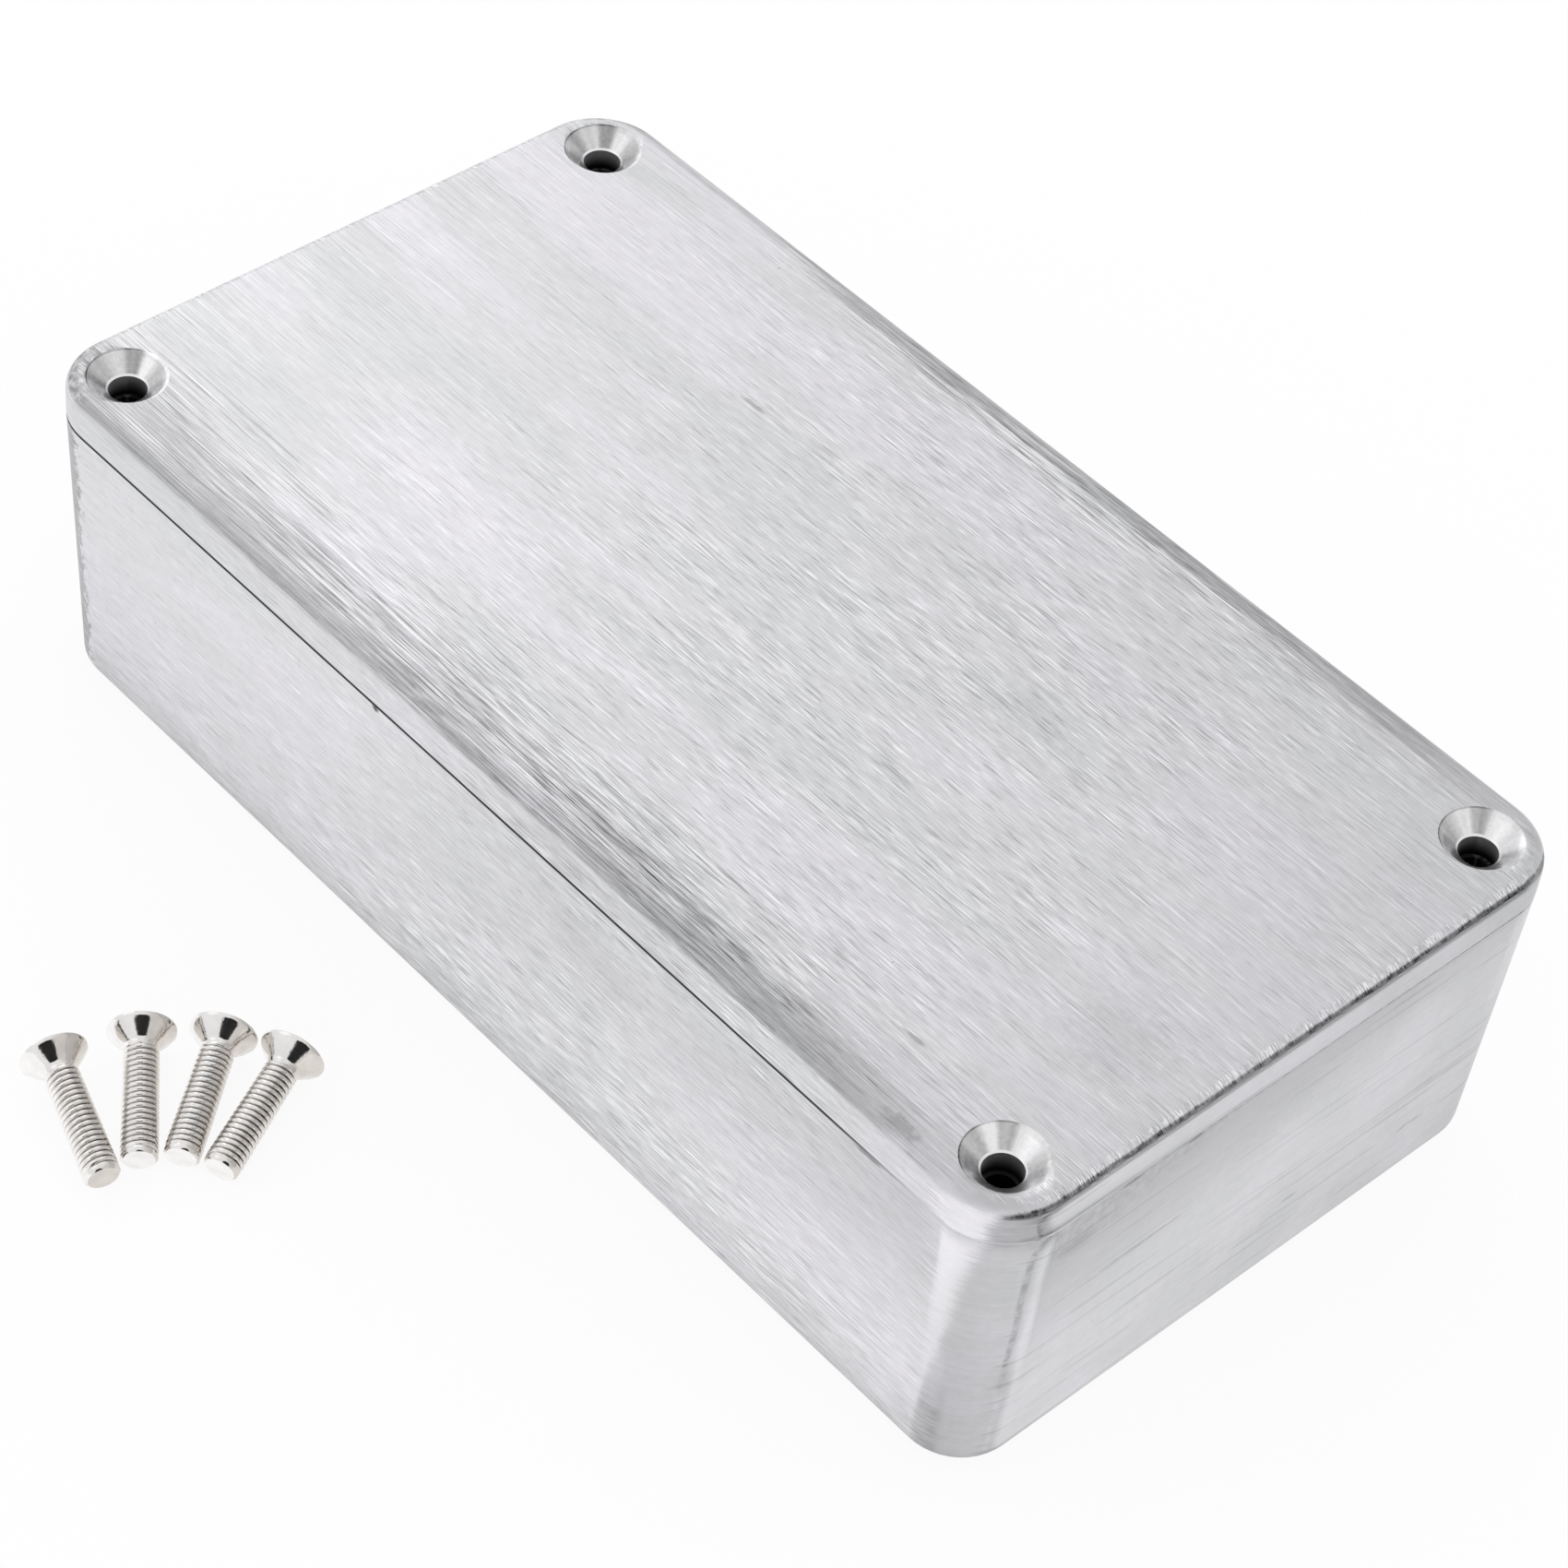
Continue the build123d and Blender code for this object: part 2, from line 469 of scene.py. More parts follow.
@dataclass(frozen=True)
class BrushedAluminium:
    """Outside of both castings: level brush lines, dirt and small marks, and painted light and shade: along
    the rolled edges, over the lid and walls, on the rounded corners and short edges, and at the foot.
    """

    groups: Groups
    half_length: float
    half_width: float
    seam: float
    tone: float = 0.775
    roughness: float = 0.36
    specks: float = 0.28
    # painted shade at the very foot of the box, where it stands on the floor
    foot: float = 0.12
    change: Changes = Changes()
    marks: tuple[Mark, ...] = (
        Mark((-18.6, 13.35, 31.0), (1.9, 0.3, 1.0), 0.34, 0.8),
        Mark((-7.3, -29.2, 31.0), (1.8, 0.5, 1.5), 0.16, 1.4),
        Mark((39.0, -22.6, 31.0), (1.5, 0.3, 1.0), 0.34, 0.8),
        Mark((44.3, -28.9, 31.0), (2.6, 0.9, 1.5), 0.26),
        Mark((21.5, 6.8, 31.0), (5.0, 2.5, 1.0), 0.07),
        Mark((48.0, -11.0, 31.0), (6.0, 5.0, 1.0), 0.07),
        Mark((13.0, -29.9, 22.5), (7.0, 3.0, 4.0), 0.07),
        Mark((-12.45, -30.0, 27.3), (0.55, 1.0, 0.45), 0.85, 0.6),
        Mark((42.9, -30.0, 27.3), (2.0, 1.0, 0.3), 0.5, 0.5),
        Mark((56.0, -21.8, 24.1), (2.0, 2.6, 1.1), 0.16),
        Mark((56.0, -13.5, 17.6), (2.0, 6.5, 0.2), 0.25),
        Mark((56.0, -17.0, 27.4), (2.0, 1.6, 0.3), 0.40, 0.5),
        Mark((56.0, -10.6, 27.4), (2.0, 1.2, 0.3), 0.40, 0.5),
        Mark((56.0, 18.6, 6.7), (2.0, 2.4, 0.4), 0.20),
        Mark((55.6, 4.5, 8.5), (2.0, 1.2, 0.4), 0.18),
    )

    def material(self) -> bpy.types.Material:
        """Returns the finished material."""
        material, bench, shader = new_material("brushed_aluminium")
        spot = self.read_spot(bench)
        band, edge_shade, border = self.rolled_edge(bench, spot)
        scuffed, crisp = self.wear(bench, spot, border)
        tone = Tone(bench, self.tone)
        self.wide_shading(bench, spot, tone, scuffed)
        self.brush_lines(bench, spot, tone, band, edge_shade, border, crisp)
        self.corner_tone(bench, spot, tone)
        at_end = bench.step(spot.facing[0], 0.8, 0.95)
        lines = bench.times(bench.step(spot.broad, 0.95, 1.0), at_end)
        tone.add(lines, self.change.dark_lines)
        self.end_edge(bench, spot, tone)
        self.seam_line(bench, spot, tone)
        self.dirt(bench, spot, tone)
        tint = bench.scaled(spot.patches, 0.02, 0.957)
        colour = tone.coloured(bench.join(0.972, tint, 1.0))
        rough = bench.scaled(spot.fine, 0.06, bench.scaled(spot.patches, 0.08, self.roughness))
        finish_metal(bench, shader, colour, rough, spot.fine, bench.times(crisp, 0.3), 0.01)
        return material

    def streaks(
        self, bench: Bench, place: Feed, on_top: Feed, size: tuple, limits: tuple, seed: float
    ) -> Feed:
        """Streaks of a brush.

        Args:
            bench: the material's bench.
            place: the point in mm.
            on_top: 1 on the lid's top.
            size: length and width of a streak in mm.
            limits: noise values at which a streak starts and is full.
            seed: offset of its noise.

        Returns:
            0 between the streaks and 1 in them.
        """
        feeds = {"Length": size[0], "Width": size[1], "Low": limits[0], "High": limits[1]}
        return bench.group(self.groups.brushing, Place=place, Top=on_top, Seed=seed, **feeds)

    def read_spot(self, bench: Bench) -> Spot:
        """Returns what the finish reads at a point. Args: bench: the material's bench."""
        place = millimetres(bench)
        x, y, z = bench.split(place)
        facing = bench.split(bench.add("ShaderNodeNewGeometry").outputs["Normal"])
        on_top = bench.step(facing[2], 0.5, 0.72)
        level = bench.math("ABSOLUTE", facing[2])
        drawn = bench.vector("MULTIPLY", place, (0.3, 1.0, 1.0))
        grain = bench.noise(place, 1.3, detail=4.0, roughness=0.6)
        return Spot(
            place, x, y, z, facing, on_top, level, grain,
            uneven=bench.centred(grain),
            mottle=bench.step(grain, 0.35, 0.65),
            patches=bench.group(self.groups.clouds, Place=drawn, Size=9.0, Low=0.35, High=0.65),
            fine=self.streaks(bench, place, on_top, (2.4, 0.09), (0.25, 0.75), 0.0),
            broad=self.streaks(bench, place, on_top, (20.0, 0.5), (0.33, 0.67), 31.0),
        )

    def rolled_edge(self, bench: Bench, spot: Spot) -> tuple:
        """The scratched band that runs along the lid's long edges, widest at the -X end, with painted shade
        in it and along its border.

        Args:
            bench: the material's bench.
            spot: what is read at the point.

        Returns:
            How much a point shows of the scratched band, its part with painted shade nearer the edge, and
            its border of painted shade at the edge.
        """
        near = bench.step(spot.x, -self.half_length, self.half_length, 9.5, 6.0)
        far = bench.step(spot.x, -0.7 * self.half_length, -0.2 * self.half_length, 1.2, 4.0)
        width = bench.blend(bench.step(spot.y, -1.0, 1.0), near, far)
        inset = bench.math("SUBTRACT", self.half_width, bench.math("ABSOLUTE", spot.y))
        streaky = bench.centred(spot.broad)
        ragged = bench.scaled(streaky, 0.45, bench.math("DIVIDE", inset, width))
        band = bench.times(bench.step(ragged, 1.2, 0.75), spot.on_top)
        uneven = bench.scaled(streaky, 0.7, inset)
        fading = bench.times(spot.on_top, bench.step(spot.x, 50.0, 38.0, 0.25, 1.0))
        # painted shade in the band's part nearer the edge and along its border at the edge
        edge_shade = bench.step(uneven, bench.times(width, 0.75), bench.times(width, 0.45))
        border = bench.step(uneven, 2.2, 1.6)
        return band, bench.times(edge_shade, fading), bench.times(border, fading)

    def wear(self, bench: Bench, spot: Spot, border: Feed) -> tuple:
        """Where the brush lines are worn away.

        Args:
            bench: the material's bench.
            spot: what is read at the point.
            border: how much the point lies in the band's border of painted shade.

        Returns:
            How scuffed the lid's left corners are, and how crisp the brush lines are.
        """
        upright = bench.step(spot.level, 0.6, 0.35)
        smooth = bench.times(bench.step(spot.facing[0], 0.02, 0.2), upright)
        turned = bench.math("ABSOLUTE", bench.times(spot.facing[0], spot.facing[1]))
        scuffed = bench.times(bench.step(turned, 0.005, 0.04), spot.on_top)
        calm = bench.larger(bench.larger(smooth, scuffed), bench.times(border, 0.5))
        crisp = bench.scaled(calm, -0.85, 1.0)
        scuffed = bench.times(scuffed, bench.step(spot.x, 10.0, -10.0))
        corner = bench.step(bench.math("ADD", spot.x, spot.y), -79.0, -82.0)
        return bench.times(bench.larger(scuffed, corner), spot.on_top), crisp

    def wide_shading(self, bench: Bench, spot: Spot, tone: Tone, scuffed: Feed) -> None:
        """Slow changes of tone over the lid and the walls: random patches and grain, spots where the lid is
        scuffed, and painted light and shade.

        Args:
            bench: the material's bench.
            spot: what is read at the point.
            tone: the tone, changed in place.
            scuffed: how scuffed the point is.
        """
        change = self.change
        tone.add(spot.patches, change.patches)
        weight = bench.scaled(scuffed, change.scuffed_grain, change.grain)
        tone.add(spot.uneven, weight)
        spots = bench.centred(bench.step(spot.grain, 0.55, 0.63))
        tone.add(scuffed, bench.times(spots, change.scuffed_spots))
        # painted shade: the walls darker towards their foot
        tone.add(self.foot_of_wall(bench, spot), change.wall_foot_shade)
        # painted light and shade on the lid's top: darker on its far side and right end, lighter at its
        # left end
        shade = bench.times(bench.step(spot.y, -5.0, 26.0), change.lid_far_side)
        shade = bench.math("ADD", shade, bench.step(spot.x, 40.0, 54.0, 0.0, change.lid_right_end))
        bright_end = bench.times(bench.step(spot.x, 10.0, -50.0), bench.step(spot.y, 20.0, -15.0))
        shade = bench.scaled(bright_end, change.lid_left_end, shade)
        tone.add(shade, spot.on_top)
        # painted light on the front wall, stronger towards +X, and painted shade on the lid's front rim
        front = bench.step(spot.facing[1], -0.9, -0.99)
        front = bench.times(front, bench.step(spot.z, self.seam + 0.2, self.seam - 0.2, -0.4, 1.0))
        weight = bench.step(spot.x, -40.0, 30.0, change.front_left, change.front_right)
        tone.add(front, weight)

    def foot_of_wall(self, bench: Bench, spot: Spot) -> Feed:
        """Returns 0.5 at the foot of a wall, falling to 0. Args: bench: the bench; spot: the point."""
        return bench.times(bench.step(spot.z, 22.0, 3.0), 0.5)

    def brush_lines(
        self, bench: Bench, spot: Spot, tone: Tone, band: Feed, edge_shade: Feed, border: Feed, crisp: Feed
    ) -> None:
        """Brush lines and scratches, a painted glint on the long scratches, and painted shade along the
        rolled edges.

        Args:
            bench: the material's bench.
            spot: what is read at the point.
            tone: the tone, changed in place.
            band: how much the point lies in the scratched band.
            edge_shade: how much it lies in the band's part with painted shade nearer the edge.
            border: how much it lies in the band's border of painted shade.
            crisp: how crisp the lines are.
        """
        change = self.change
        drawn = bench.vector("MULTIPLY", spot.place, (0.3, 1.0, 1.0))
        busy = bench.group(self.groups.clouds, Place=drawn, Size=4.0, Low=0.38, High=0.66)
        busy = bench.math("ADD", bench.times(busy, 0.6), self.foot_of_wall(bench, spot))
        lined = bench.times(band, bench.step(spot.x, 46.0, 15.0, 0.1, 1.0))

        def scratches(length: float, width: float, share: Feed, seed: float) -> Feed:
            """Returns scratches. Args: length, width: size; share: how many; seed: offset."""
            sizes = {"Length": length, "Width": width, "Share": share, "Seed": seed}
            return bench.group(self.groups.scratches, Place=spot.place, Top=spot.on_top, **sizes)

        short = scratches(3.0, 0.12, bench.scaled(bench.larger(busy, lined), 0.6, 0.4), 57.0)
        end_zone = bench.times(bench.step(spot.x, -40.0, -54.0, 0.2, 0.6), spot.on_top)
        long = scratches(11.0, 0.08, bench.larger(end_zone, bench.times(lined, 0.5)), 83.0)
        bold = bench.times(crisp, bench.step(spot.x, -45.0, 5.0, 0.55, 1.35))
        bold = bench.times(bold, bench.step(spot.x, 28.0, 48.0, 1.0, 0.6))
        strength = bench.times(bench.scaled(busy, change.busy_lines, change.lines), bold)
        tone.add(bench.centred(spot.fine), strength)
        tone.add(bench.centred(spot.broad), change.broad)
        # painted shade along the rolled edges: slight in the scratched band, stronger nearer the edge and
        # at its border
        tone.add(band, change.band)
        weight = bench.step(spot.x, -20.0, 30.0, change.edge_shade_left, change.edge_shade_right)
        tone.add(edge_shade, weight)
        tone.add(border, change.border)
        tone.add(bench.times(short, bold), change.short)
        tone.add(long, bench.times(bench.scaled(lined, change.lined, change.long), crisp))
        # painted glint: a painted highlight on the long scratches in the band
        glint = bench.times(bench.larger(long, 0.0), bench.times(lined, crisp))
        tone.add(glint, change.glint)

    def corner_tone(self, bench: Bench, spot: Spot, tone: Tone) -> None:
        """Paints light and shade on the rounded upright corners and the two kinds of upright side, and
        painted shade at the foot of the box.

        Args:
            bench: the material's bench.
            spot: what is read at the point.
            tone: the tone, changed in place.
        """
        change = self.change
        facing_x, facing_y, _ = spot.facing
        streaky = bench.centred(spot.fine)
        turn = bench.scaled(streaky, 0.1, facing_x)
        upright = bench.step(spot.level, 0.92, 0.65)
        on_lid = bench.step(spot.z, self.seam - 0.2, self.seam + 0.2)

        # painted light and shade on the +X end: lighter towards the front, darker towards the back and on
        # the lid's rim
        end = bench.times(bench.step(facing_x, 0.5, 0.9), upright)
        weight = bench.step(spot.y, -25.0, 25.0, change.end_side_near, change.end_side_far)
        tone.add(end, weight)
        tone.add(bench.times(end, on_lid), change.end_rim)

        # painted shade: a grey zone across the rounded front corner, darker still on the lid's rim
        near = bench.times(upright, bench.step(facing_y, 0.2, -0.1))
        past = bench.math("SUBTRACT", turn, bench.scaled(spot.z, 0.022, -0.08))
        grey = bench.times(bench.step(past, -0.06, 0.12), bench.step(facing_x, 0.995, 0.96))
        weight = bench.scaled(on_lid, change.grey_rim, change.grey)
        tone.add(bench.times(grey, near), weight)

        # painted shade: a dark ragged strip on the rounded corner at -X, -Y, below the lid
        ragged = bench.scaled(bench.centred(spot.mottle), 0.24, facing_x)
        ground = bench.times(bench.step(ragged, -0.1, -0.22), bench.step(facing_x, -1.0, -0.9))
        ground = bench.times(ground, bench.math("ADD", spot.fine, 0.6))
        ground = bench.times(ground, bench.step(spot.z, self.seam + 0.2, self.seam - 0.2))
        tone.add(bench.times(ground, near), change.silhouette_corner_shade)

        # painted dark line where the rounded front corner meets the +X end, turning into a slight painted
        # highlight near the bottom
        edge = bench.times(bench.step(facing_x, 0.915, 0.935), bench.step(facing_x, 0.965, 0.945))
        edge = bench.times(edge, bench.times(near, bench.math("ADD", spot.mottle, 0.2)))
        tone.add(edge, bench.step(spot.z, 7.0, 13.0, change.edge_foot, change.edge_line))

        # painted highlight: a bright upright strip on the rounded front corner, growing from 13 mm height
        # upwards
        left = bench.scaled(streaky, 1.6, spot.x)
        highlight_stripe = bench.times(bench.step(left, 48.3, 50.8), bench.step(past, 0.1, -0.12))
        highlight_stripe = bench.times(highlight_stripe, bench.step(spot.z, 13.0, 29.0))
        tone.add(bench.times(highlight_stripe, near), change.highlight_stripe)

        worn = bench.times(bench.step(turn, 0.02, 0.2), bench.step(turn, 0.55, 0.4))
        worn = bench.times(worn, bench.times(bench.step(spot.z, 11.0, 5.0), spot.fine))
        tone.add(bench.times(worn, near), change.worn_foot)
        # painted shade: darker below 1.8 mm height, fully so below 0.9 mm, where the box stands on the
        # floor
        tone.scale(bench.scaled(bench.step(spot.z, 1.8, 0.9), -self.foot, 1.0))

    def end_edge(self, bench: Bench, spot: Spot, tone: Tone) -> None:
        """Painted highlights on the brush lines where they cross the lid's rounded short edges, and painted
        shade below them.

        Args:
            bench: the material's bench.
            spot: what is read at the point.
            tone: the tone, changed in place.
        """
        # painted highlights on the brush lines where they cross the rounded short edges, with a darker tone
        # between them
        tick_highlights = self.streaks(bench, spot.place, spot.on_top, (0.8, 0.09), (0.5, 0.58), 12.0)
        sideways = bench.math("ABSOLUTE", spot.facing[0])
        lengthways = bench.math("ABSOLUTE", spot.facing[1])
        crossing = bench.times(bench.step(sideways, 0.04, 0.3), bench.step(sideways, 0.78, 0.6))
        crossing = bench.times(crossing, bench.step(spot.facing[2], 0.5, 0.65))
        crossing = bench.times(crossing, bench.step(lengthways, 0.2, 0.05))
        crossing = bench.times(crossing, bench.scaled(spot.mottle, 1.4, 0.15))
        signed = bench.scaled(tick_highlights, 1.3, -0.3)
        tone.add(bench.times(crossing, signed), self.change.tick_highlights)
        # painted shade in a band beneath the highlights
        uneven = bench.scaled(bench.centred(spot.mottle), 0.05, sideways)
        below = bench.times(bench.step(uneven, 0.58, 0.7), bench.step(uneven, 0.94, 0.84))
        below = bench.times(below, bench.step(spot.facing[2], 0.2, 0.4))
        weight = bench.scaled(spot.mottle, self.change.below_ticks, self.change.below_ticks)
        tone.add(below, weight)

    def seam_line(self, bench: Bench, spot: Spot, tone: Tone) -> None:
        """Darkens the joint between the castings, less towards the worn corner at +X, -Y.

        Args:
            bench: the material's bench.
            spot: what is read at the point.
            tone: the tone, changed in place.
        """
        distance = bench.math("ABSOLUTE", bench.math("SUBTRACT", spot.z, self.seam))
        at_end = bench.step(spot.x, self.half_length - 7.0, self.half_length - 2.0)
        line = bench.step(distance, bench.blend(at_end, 0.2, 0.1), bench.blend(at_end, 0.1, 0.02))
        worn = bench.math("SUBTRACT", bench.math("SUBTRACT", spot.x, spot.y), self.half_length)
        shown = bench.step(worn, 24.0, 12.0, 0.0, 0.92)
        broken = bench.scaled(spot.mottle, 0.65, 0.35)
        shown = bench.times(shown, bench.blend(at_end, 1.0, broken))
        tone.scale(bench.math("SUBTRACT", 1.0, bench.times(line, shown)))

    def dirt(self, bench: Bench, spot: Spot, tone: Tone) -> None:
        """Specks all over, and the marks that the photograph shows.

        Args:
            bench: the material's bench.
            spot: what is read at the point.
            tone: the tone, changed in place.
        """
        tone.scale(bench.scaled(bench.step(spot.grain, 0.72, 0.78), -self.specks, 1.0))
        for mark in self.marks:
            sizes = {"Centre": mark.centre, "Reach": mark.reach, "Ragged": mark.ragged}
            sizes |= {"Grain": spot.uneven, "Left": 1 - mark.depth}
            tone.scale(bench.group(self.groups.mark, Place=spot.place, **sizes))


def from_hole(bench: Bench, place: Feed, hole: tuple[float, float]) -> Feed:
    """Where a point lies from the axis of the screw hole in its corner.

    Args:
        bench: the material's bench.
        place: the point in mm.
        hole: distances of the holes from the middle of the box.

    Returns:
        The offset from the axis as a level vector.
    """
    centre = bench.vector("MULTIPLY", bench.vector("SIGN", place), (*hole, 0.0))
    return bench.vector("MULTIPLY", bench.vector("SUBTRACT", place, centre), (1.0, 1.0, 0.0))


@dataclass(frozen=True)
class ReflectionSector:
    """A painted reflection, light or dark, on a sector of a turned cone: its direction, the cosines of its
    border and blur, its tone.
    """

    towards: tuple[float, float]
    border: float
    blur: float
    change: float


@dataclass(frozen=True)
class MachinedAluminium:
    """Countersinks and holes: turned cones with painted reflections, a painted highlight round each bore's
    mouth, and painted shade on the cone's rim towards -X, -Y and down the bores.
    """

    hole: tuple[float, float]
    mouth: float
    bore_radius: float
    mouth_radius: float
    tone: float = 0.74
    lip_width: float = 0.19
    # painted highlight round each bore's mouth
    lip_highlight: float = 0.97
    rim_width: float = 0.16
    shaded_side: tuple[float, float, float] = (-0.73, -0.68, 0.0)
    # painted reflections on the cones: a light and a dark sector towards -X, +Y, and a dark sector towards
    # -X, -Y
    streaks: tuple[ReflectionSector, ...] = (
        ReflectionSector((-0.68, 0.73), 0.95, 0.5, 0.16),
        ReflectionSector((-0.68, 0.73), 0.99, 0.05, -0.36),
        ReflectionSector((-0.73, -0.68), 0.9, 0.5, -0.24),
    )

    def material(self) -> bpy.types.Material:
        """Returns the finished material."""
        material, bench, shader = new_material("machined_aluminium")
        place = millimetres(bench)
        local = from_hole(bench, place, self.hole)
        outward = bench.vector("NORMALIZE", local)
        radius = bench.vector("LENGTH", local)
        z = bench.split(place)[2]
        corner = bench.vector("SCALE", bench.vector("SIGN", place), 7.0)
        around = bench.vector("ADD", outward, corner)
        sectors = bench.step(bench.noise(around, 1.6, detail=3.0), 0.3, 0.7)
        rings = bench.noise(bench.join(bench.times(radius, 9.0), 0.0, 0.0), detail=3.0)
        grain = bench.noise(place, 3.0, detail=4.0, roughness=0.6)
        tone = Tone(bench, self.tone)
        tone.add(bench.centred(sectors), 0.3)
        tone.add(bench.centred(rings), 0.14)
        tone.add(bench.centred(grain), 0.3)
        # painted reflections, each on the sector of the cone that faces its direction
        for streak in self.streaks:
            along = bench.vector("DOT_PRODUCT", outward, (*streak.towards, 0.0))
            shown = bench.step(along, streak.border - streak.blur, streak.border)
            tone.add(shown, streak.change)
        # painted highlight: a bright ring round the bore's mouth
        lip_edge = self.bore_radius + self.lip_width
        lip = bench.step(radius, lip_edge, lip_edge - 0.07)
        tone.turn(lip, self.lip_highlight)
        # painted shade along the cone's rim on the side that faces -X, -Y
        shaded = bench.step(bench.vector("DOT_PRODUCT", outward, self.shaded_side), -0.5, 0.3)
        rim_edge = self.mouth_radius - self.rim_width
        rim = bench.step(radius, rim_edge, rim_edge + 0.1)
        tone.add(bench.times(rim, shaded), -0.3)
        # painted shade down the bore, darker the deeper it goes
        deep = bench.step(z, self.mouth + 0.02, self.mouth - 0.12)
        tone.turn(deep, bench.step(z, self.mouth - 1.8, self.mouth - 0.3, 0.02, 0.6))
        colour = tone.coloured((0.99, 0.985, 1.0))
        finish_metal(bench, shader, colour, bench.blend(deep, 0.27, 0.6), rings, 0.3, 0.01)
        return material


@dataclass(frozen=True)
class CastSkin:
    """Inside of both castings, as it leaves the die: matt, patchy and slightly pitted, with painted shade
    in the screw holes and on a narrow ring round them.
    """

    groups: Groups
    hole: tuple[float, float]
    bore_radius: float
    tone: float = 0.62
    # painted shade in the screw holes
    bore_shade: float = 0.06

    def material(self) -> bpy.types.Material:
        """Returns the finished material."""
        material, bench, shader = new_material("cast_skin")
        place = millimetres(bench)
        patches = bench.group(self.groups.clouds, Place=place, Size=7.0, Low=0.3, High=0.7)
        pits = bench.noise(place, 2.5, detail=5.0, roughness=0.65)
        tone = Tone(bench, self.tone)
        tone.add(patches, -0.12)
        tone.add(bench.centred(pits), 0.2)
        # painted shade in the screw holes and on a narrow ring round them
        radius = bench.vector("LENGTH", from_hole(bench, place, self.hole))
        in_bore = bench.step(radius, self.bore_radius + 0.3, self.bore_radius)
        tone.turn(in_bore, self.bore_shade)
        colour = tone.coloured((0.98, 0.99, 1.0))
        finish_metal(bench, shader, colour, bench.scaled(patches, 0.15, 0.5), pits, 0.5, 0.05)
        return material


@dataclass(frozen=True)
class BrightNickel:
    """Plating of the screws: bright, with painted shade on the side that faces +X, +Y, deeper painted shade
    in the thread's valleys, a painted brownish reflection on the shaded side and in the valleys, and duller
    down in the thread.
    """

    groups: Groups
    tone: float = 0.94
    roughness: float = 0.06
    shaded_side: tuple[float, float, float] = (0.73, 0.68, 0.0)

    def material(self) -> bpy.types.Material:
        """Returns the finished material."""
        material, bench, shader = new_material("bright_nickel")
        place = millimetres(bench)
        groove = bench.add("ShaderNodeAttribute", attribute_name="groove").outputs["Fac"]
        patches = bench.group(self.groups.clouds, Place=place, Size=1.2, Low=0.3, High=0.7)
        grain = bench.noise(place, 5.0, detail=4.0)
        normal = bench.add("ShaderNodeNewGeometry").outputs["Normal"]
        # painted shade on the side that faces +X, +Y
        side = bench.vector("DOT_PRODUCT", normal, self.shaded_side)
        shade = bench.step(side, 0.1, 0.45)
        # painted shade in the thread's valleys, nearly black on the shaded side
        valley_shade = bench.blend(bench.step(side, 0.3, 0.65), bench.step(side, -0.5, 0.0, 0.75, 0.36), 0.04)
        tone = Tone(bench, self.tone)
        tone.add(shade, -0.25)
        tone.turn(bench.step(groove, 0.15, 0.85), valley_shade)
        tone.add(bench.centred(patches), 0.08)
        # painted brownish reflection on the shaded side and in the valleys
        warm_reflection = bench.larger(shade, bench.times(groove, 0.8))
        warmed = bench.join(1.0, bench.scaled(warm_reflection, -0.04, 0.985), bench.scaled(warm_reflection, -0.09, 0.975))
        rough = bench.scaled(groove, 0.15, bench.scaled(grain, 0.1, self.roughness))
        finish_metal(bench, shader, tone.coloured(warmed), rough, grain, 0.35, 0.02)
        return material


def smooth_copy(node: str, name: str) -> bpy.types.Object:
    """A joined-up copy of a casting's mesh that shades smoothly between its true edges.

    Args:
        node: the casting's node in the frame.
        name: name of the new piece.

    Returns:
        The new piece, linked to the scene.
    """
    weld = 2e-6
    sharp = math.radians(30)
    shell = bmesh.new()
    shell.from_mesh(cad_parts[node].data)
    bmesh.ops.remove_doubles(shell, verts=shell.verts, dist=weld)
    bmesh.ops.dissolve_degenerate(shell, edges=shell.edges, dist=weld)
    mesh = bpy.data.meshes.new(name)
    shell.to_mesh(mesh)
    shell.free()
    mesh.shade_smooth()
    mesh.set_sharp_from_angle(angle=sharp)
    piece = bpy.data.objects.new(name, mesh)
    bpy.context.scene.collection.objects.link(piece)
    weighted = piece.modifiers.new("flat faces stay flat", "WEIGHTED_NORMAL")
    weighted.keep_sharp = True
    weighted.weight = 100
    return settle(piece)


def settle(piece: bpy.types.Object) -> bpy.types.Object:
    """Turns a piece with modifiers into a plain mesh.

    Args:
        piece: the piece, which keeps its name.

    Returns:
        The same piece.
    """
    bpy.context.view_layer.update()
    graph = bpy.context.evaluated_depsgraph_get()
    mesh = bpy.data.meshes.new_from_object(piece.evaluated_get(graph), depsgraph=graph)
    piece.modifiers.clear()
    piece.data = mesh
    mesh.name = piece.name
    return piece


